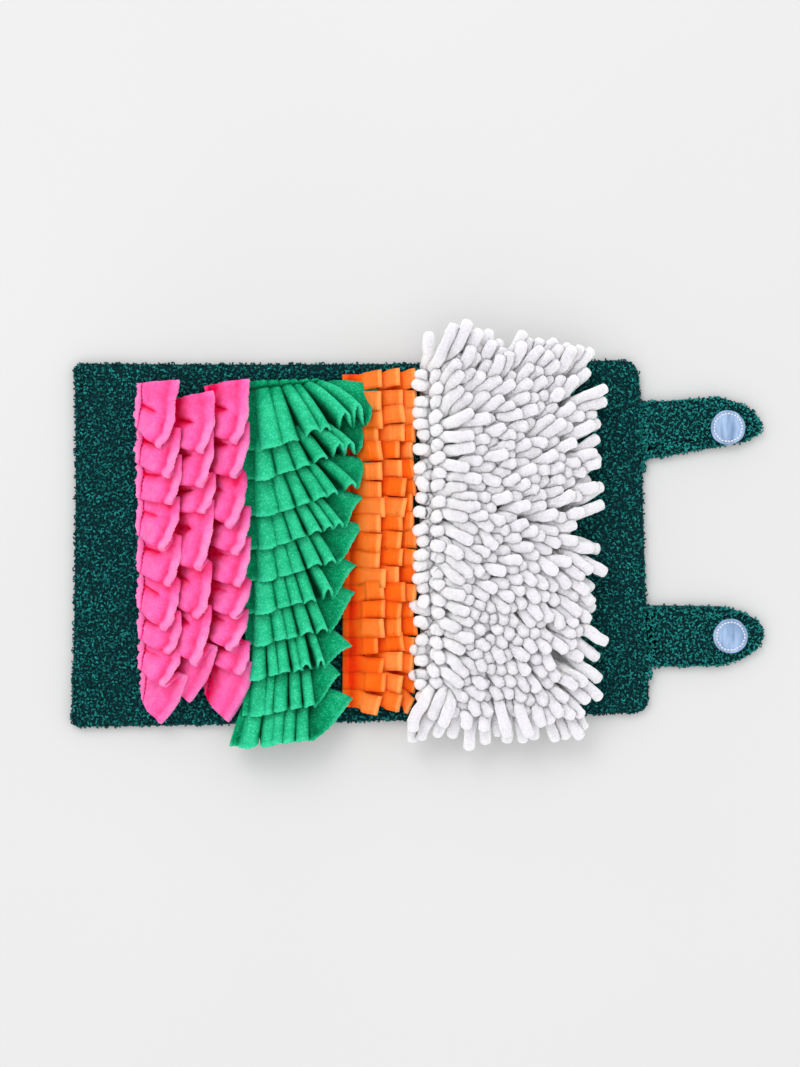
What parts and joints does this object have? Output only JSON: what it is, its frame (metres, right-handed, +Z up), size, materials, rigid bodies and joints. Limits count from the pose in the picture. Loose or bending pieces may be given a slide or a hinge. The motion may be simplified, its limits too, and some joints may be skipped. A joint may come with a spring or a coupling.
{
  "type": "snuffle toy",
  "caption": "Boucle mat with pleated fleece frills, looped felt strips and a noodle pile panel to hide treats in, and two straps that close it as a roll.",
  "frame": {"origin": "middle of the mat's underside, on the surface it lies on", "axes": "+X along the mat towards the straps, +Y across the mat, +Z up from the surface to the pile"},
  "size_m": [0.4024, 0.252, 0.0365],
  "materials": {
    "boucle": "dark teal curly pile",
    "pink_fleece": "matt brushed fleece",
    "green_fleece": "matt brushed fleece",
    "orange_felt": "matt smooth felt",
    "chenille": "soft white chenille pile",
    "loop_tape": "pale blue loop tape"
  },
  "bodies": {
    "root": {"mat": "boucle", "strap_upper": "boucle", "strap_lower": "boucle", "dot_upper": "loop_tape", "dot_lower": "loop_tape", "pink_strip_1": "pink_fleece", "pink_strip_2": "pink_fleece", "pink_strip_3": "pink_fleece", "green_strip_01": "green_fleece", "green_strip_02": "green_fleece", "green_strip_03": "green_fleece", "green_strip_04": "green_fleece", "green_strip_05": "green_fleece", "green_strip_06": "green_fleece", "green_strip_07": "green_fleece", "green_strip_08": "green_fleece", "green_strip_09": "green_fleece", "green_strip_10": "green_fleece", "orange_strip_1": "orange_felt", "orange_strip_2": "orange_felt", "orange_strip_3": "orange_felt", "noodle_panel": "chenille"}
  },
  "joints": []
}
